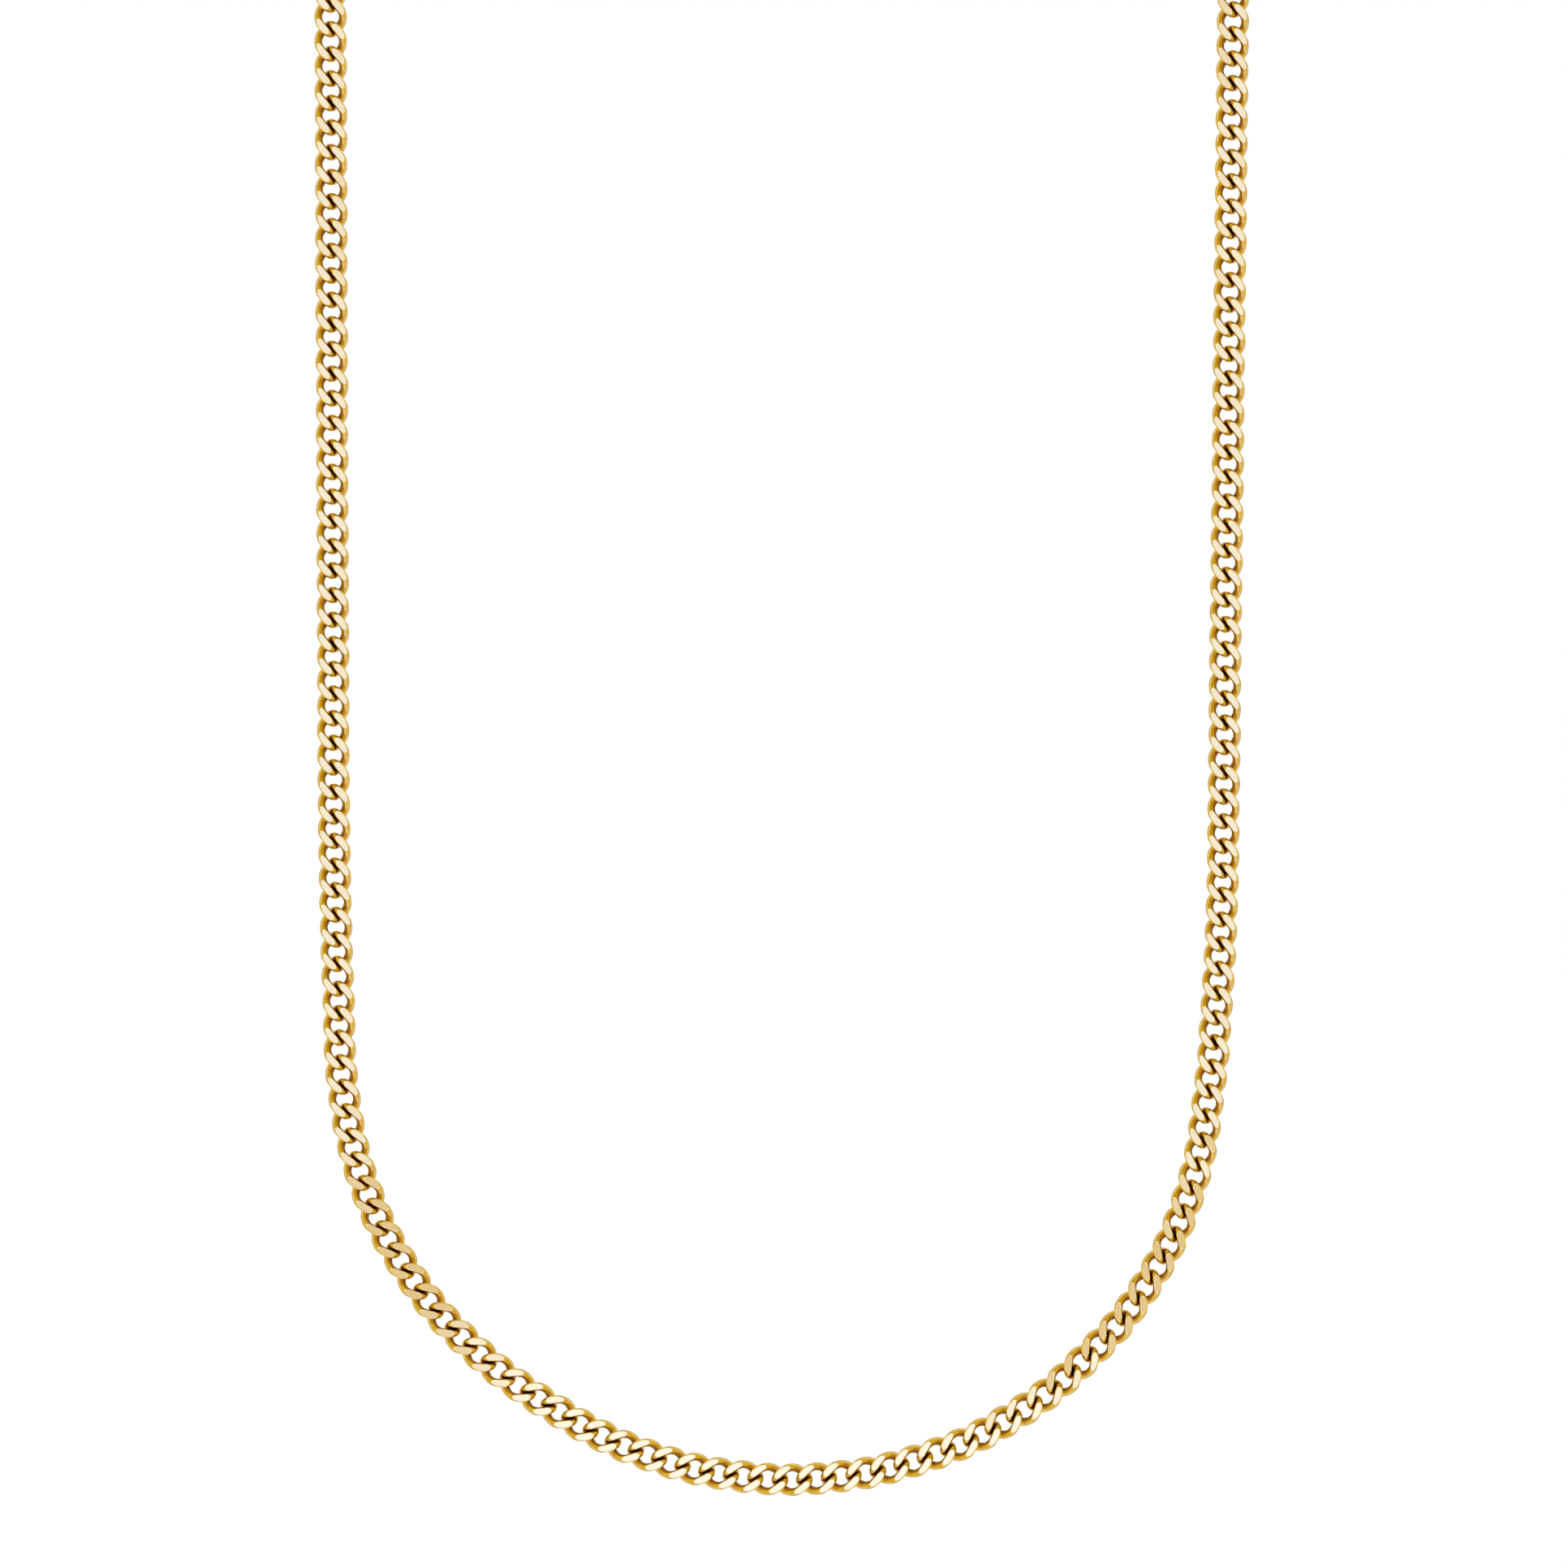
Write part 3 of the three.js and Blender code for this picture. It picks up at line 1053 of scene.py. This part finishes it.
@dataclass
class LobsterClasp:
    """The clasp: a hooked body with an eye, a lever on a pin and a leaf spring.

    Its sizes are in millimetres, and its eye is at the origin.
    """

    half_thickness: float = 1.3
    rounding: Point = (0.34, 0.5)
    lever_rounding: Point = (0.16, 0.2)
    slot_rounding: Point = (0.1, 0.1)
    eye_radius: float = 1.3
    eye_wire: float = 0.42
    slot_half_height: float = 0.6
    slot: Point = (1.9, 5.8)
    pivot: Point = (3.7, 0.2)
    pin_radius: float = 0.3
    hole_radius: float = 0.38
    lever_half_thickness: float = 0.45
    spring_radius: float = 1.5
    spring_thickness: float = 0.16
    spring_half_height: float = 0.35
    spring_centre: Point = (1.15, -1.2)
    spring_ends: tuple[float, float] = (math.radians(-24), math.radians(42))
    spring_steps: int = 28
    body_facets: int = 5
    lever_facets: int = 3
    slot_facets: int = 2
    slot_reach: float = 10.0
    cutter_half_length: float = 2.0
    rivet_inset: float = 0.05
    rivet_dome: float = 0.1
    sharp_angle: float = math.radians(32)

    def body_outline(self) -> Outline:
        """The hooked body, without its eye."""
        return Outline(
            (1.0, -1.2),
            (
                ((2.2, -2.1), (4.2, -2.3)),
                ((7.6, -3.2), (10.0, -1.9)),
                ((11.9, -0.6), (11.4, 1.1)),
                ((10.9, 2.5), (9.3, 2.6)),
                (None, (9.1, 1.75)),
                ((10.3, 1.4), (10.2, 0.3)),
                ((9.9, -1.1), (7.9, -1.3)),
                ((6.0, -1.3), (5.6, -0.3)),
                (None, (5.3, 1.8)),
                ((3.2, 2.3), (1.0, 1.2)),
            ),
        )

    def lever_outline(self) -> Outline:
        """The lever: a gate, a hub and a thumb lug."""
        return Outline(
            (3.0, 1.0),
            (
                ((4.2, 2.2), (6.0, 2.4)),
                (None, (8.9, 2.4)),
                (None, (8.75, 1.7)),
                ((6.6, 1.6), (5.0, 0.5)),
                ((4.4, -0.6), (4.3, -1.9)),
                ((4.2, -2.9), (3.5, -3.3)),
                ((2.9, -3.2), (3.1, -2.4)),
                ((3.2, -1.2), (2.9, 0.0)),
            ),
        )

    def home(self) -> Matrix:
        """The clasp's own axes: X towards the hook, Z out of the plate, the origin in the eye."""
        lever = Joint.named("clasp_lever_press")
        across = -Joint.named("clasp_fold").axis
        along = across.cross(lever.axis).normalized()
        axes = Matrix((along, across, lever.axis)).transposed().to_4x4()
        origin = lever.place - (self.pivot[0] * along + self.pivot[1] * across) * MM
        return Matrix.Translation(origin) @ axes @ Matrix.Scale(MM, 4)

    def body_mesh(self) -> Mesh:
        """The body with its eye, slot and pin hole."""
        plate = rounded_plate(self.body_outline(), self.half_thickness, self.rounding, self.body_facets)
        low, high = self.slot
        reach, cutter = self.slot_reach, self.cutter_half_length
        bends = ((None, (high, -reach)), (None, (high, reach)), (None, (low, reach)))
        outline = Outline((low, -reach), bends)
        slot = rounded_plate(outline, self.slot_half_height, self.slot_rounding, self.slot_facets)
        return combined(
            plate,
            (
                ("UNION", round_eye(self.eye_radius, self.eye_wire)),
                ("DIFFERENCE", round_bar(self.eye_radius - self.eye_wire, cutter, (0.0, 0.0))),
                ("DIFFERENCE", slot),
                ("DIFFERENCE", round_bar(self.hole_radius, cutter, self.pivot)),
            ),
        )

    def lever_mesh(self) -> Mesh:
        """The lever with its pin hole."""
        half = self.lever_half_thickness
        plate = rounded_plate(self.lever_outline(), half, self.lever_rounding, self.lever_facets)
        hole = round_bar(self.hole_radius, self.cutter_half_length, self.pivot)
        return combined(plate, (("DIFFERENCE", hole),))

    def spring_mesh(self) -> Mesh:
        """The bowed leaf spring."""
        half = 0.5 * self.spring_thickness
        corners = ((-half, -1), (half, -1), (half, 1), (-half, 1))
        centre = Vector((*self.spring_centre, 0.0))
        first, last = self.spring_ends
        sections = []
        for i in range(self.spring_steps + 1):
            angle = first + (last - first) * i / self.spring_steps
            outward = Vector((math.cos(angle), math.sin(angle), 0.0))
            section = []
            for step, side in corners:
                rise = Vector((0.0, 0.0, side * self.spring_half_height))
                section.append(centre + (self.spring_radius + step) * outward + rise)
            sections.append(section)
        return stacked(sections, "leaf_spring")

    def dressed(
        self, name: str, mesh: Mesh, body: str, node: str, finish: Material
    ) -> Object:
        """Places a mesh of the clasp, gives it its finish and puts it on its body.

        Args:
            name: the piece's name.
            mesh: its mesh, in the clasp's own axes.
            body: the body that it rides on.
            node: the plain solid that it stands for.
            finish: its material.

        Returns:
            The piece.
        """
        mesh.transform(self.home())
        mesh.materials.clear()
        mesh.materials.append(finish)
        mesh.shade_smooth()
        mesh.set_sharp_from_angle(angle=self.sharp_angle)
        piece = new_object(name, mesh)
        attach(piece, body)
        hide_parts(node)
        return piece

    def build(self, gold: Material, steel: Material) -> list[Object]:
        """Builds the clasp's four pieces.

        Args:
            gold: finish of the body, lever and pin.
            steel: finish of the spring.

        Returns:
            The pieces.
        """
        half_length = self.half_thickness - self.rivet_inset
        pin = round_bar(self.pin_radius, half_length, self.pivot, dome=self.rivet_dome)
        return [
            self.dressed("clasp_hook", self.body_mesh(), "clasp", "clasp_body", gold),
            self.dressed("clasp_gate", self.lever_mesh(), "clasp_lever", "clasp_lever", gold),
            self.dressed("clasp_rivet", pin, "clasp", "clasp_pin", gold),
            self.dressed("clasp_leaf", self.spring_mesh(), "clasp", "clasp_spring", steel),
        ]


# ---- studio


@dataclass(frozen=True)
class Card:
    """A soft-edged round patch of the surroundings that the metal mirrors. Angles in degrees."""

    azimuth: float
    elevation: float
    inner: float
    outer: float
    colour: Colour

    def direction(self) -> Vector:
        """Where it stands, seen from the necklace; azimuth 0 is +X and 90 is +Y."""
        turn, rise = math.radians(self.azimuth), math.radians(self.elevation)
        flat = math.cos(rise)
        return Vector((math.cos(turn) * flat, math.sin(turn) * flat, math.sin(rise)))


@dataclass
class Studio:
    """Pale floor, soft surroundings and the camera."""

    floor_depth: float = 0.1
    floor_reach: float = 30.0
    floor_colours: tuple[Colour, Colour] = ((0.93, 0.93, 0.93, 1.0), (0.90, 0.90, 0.90, 1.0))
    floor_grain: float = 6.0
    floor_roughness: float = 0.9
    view_width: float = 0.19124
    view_offset: tuple[float, float] = (0.00051, 0.084683)
    lens: float = 500.0
    sensor: float = 36.0
    clip: tuple[float, float] = (0.05, 100.0)
    sky_stops: tuple[tuple[float, Colour], ...] = (
        (0.0, (0.90, 0.80, 0.40, 1.0)),
        (0.10, (0.72, 0.60, 0.03, 1.0)),
        (0.35, (0.80, 0.68, 0.06, 1.0)),
        (0.60, (0.90, 0.78, 0.20, 1.0)),
        (0.85, (0.80, 0.66, 0.08, 1.0)),
    )
    backdrop: Colour = (1.12, 1.12, 1.12, 1.0)
    cards: tuple[Card, ...] = ()

    def build(self) -> None:
        """Builds floor, surroundings and camera; the surroundings give all the light."""
        self.floor()
        self.sky()
        self.camera()

    def floor(self) -> None:
        """A wide pale floor, well below the chain so that every pose stays above it."""
        reach, level = self.floor_reach, -self.floor_depth
        signs = ((-1, -1), (1, -1), (1, 1), (-1, 1))
        corners = [Vector((x * reach, y * reach, level)) for x, y in signs]
        mesh = bpy.data.meshes.new("floor")
        mesh.from_pydata(corners, [], [(0, 1, 2, 3)])
        finish, graph, place = new_material("pale_floor")
        colour = graph.mix(graph.noise(place, self.floor_grain, 2.0), *self.floor_colours)
        graph.surface({"Base Color": colour, "Roughness": self.floor_roughness})
        mesh.materials.append(finish)
        new_object("floor", mesh)

    def sky(self) -> None:
        """Soft surroundings with cards; straight views of them show a plain pale backdrop."""
        world = bpy.data.worlds.new("studio")
        world.use_nodes = True
        bpy.context.scene.world = world
        graph = NodeGraph(world.node_tree)
        direction = graph.node("ShaderNodeTexCoord").outputs["Generated"]
        height = graph.node("ShaderNodeSeparateXYZ", None, {0: direction}).outputs[2]
        colour = graph.node("ShaderNodeValToRGB", {"stops": self.sky_stops}, {0: height}).outputs[0]
        for card in self.cards:
            inputs = {0: direction, 1: card.direction()}
            facing = graph.node("ShaderNodeVectorMath", {"operation": "DOT_PRODUCT"}, inputs)
            outer, inner = (math.cos(math.radians(angle)) for angle in (card.outer, card.inner))
            edge = graph.smooth_range(facing.outputs["Value"], outer, inner)
            colour = graph.mix(edge, colour, card.colour)
        mirrored = graph.value(graph.node("ShaderNodeLightPath").outputs["Is Glossy Ray"])
        colour = graph.mix(mirrored, self.backdrop, colour)
        background = graph.node("ShaderNodeBackground", None, {"Color": colour, "Strength": 1.0})
        graph.node("ShaderNodeOutputWorld", None, {"Surface": background.outputs[0]})

    def camera(self) -> None:
        """A long lens straight above, framing the lower two thirds of the chain."""
        place = next(m for m in frame["record"]["mounts"] if m["name"] == "pendant_place")["pos_m"]
        lens = bpy.data.cameras.new("camera")
        lens.lens = self.lens
        lens.sensor_width = self.sensor
        distance = self.view_width * self.lens / self.sensor
        lens.clip_start, lens.clip_end = self.clip
        made = new_object("camera", lens)
        made.location = Vector(place) + Vector((*self.view_offset, distance))
        bpy.context.scene.camera = made
        settings = bpy.context.scene.view_settings
        settings.view_transform = "Standard"
        settings.look = "None"


def report(name: str, pieces: Sequence[Object]) -> None:
    """Logs what a sub-assembly is made of."""
    for piece in pieces:
        log.info("%s: %s, %d faces", name, piece.name, len(piece.data.polygons))


def main() -> None:
    """Builds every sub-assembly in order."""
    logging.basicConfig(level=logging.INFO, format="%(message)s")
    chain_gold = GoldFinish("chain_gold").material()
    fitting_gold = GoldFinish("fitting_gold", tint_grain=2.5, roughness=0.16).material()
    spring_steel = SteelFinish("leaf_spring_steel").material()
    report("chain", Chain(CurbLink()).build(chain_gold))
    jump_direction = UP.cross(Joint.named("clasp_ring_lift").axis)
    jump_ring = RoundRing("clasp_jump_ring", 1.6, 0.35, math.radians(62), jump_direction, 1.9)
    end_direction = Joint.named("end_ring_lean").axis
    end_ring = RoundRing("end_ring", 2.1, 0.4, math.radians(45), end_direction, 4.0, seam_depth=0.02)
    report("rings", [jump_ring.build(fitting_gold), end_ring.build(fitting_gold)])
    report("clasp", LobsterClasp().build(fitting_gold, spring_steel))
    tan = (0.80, 0.62, 0.33, 1.0)
    cream = (0.97, 0.95, 0.93, 1.0)
    rise = 76.3  # leaning ground faces mirror this elevation
    sides = [Card(turn, rise, 3.5, 5.0, cream) for turn in (0.0, 180.0)]
    corners = [Card(turn, rise, 3.6, 5.0, tan) for turn in (32.0, -32.0, 148.0, 212.0)]
    Studio(
        cards=(
            Card(90.0, 25.0, 10.0, 35.0, (0.66, 0.52, 0.02, 1.0)),
            Card(-90.0, 30.0, 8.0, 32.0, (1.0, 0.98, 1.0, 1.0)),
            Card(0.0, 90.0, 27.0, 34.0, (1.10, 1.10, 1.12, 1.0)),
            *sides,
            *corners,
        )
    ).build()


if __name__ == "__main__":
    main()
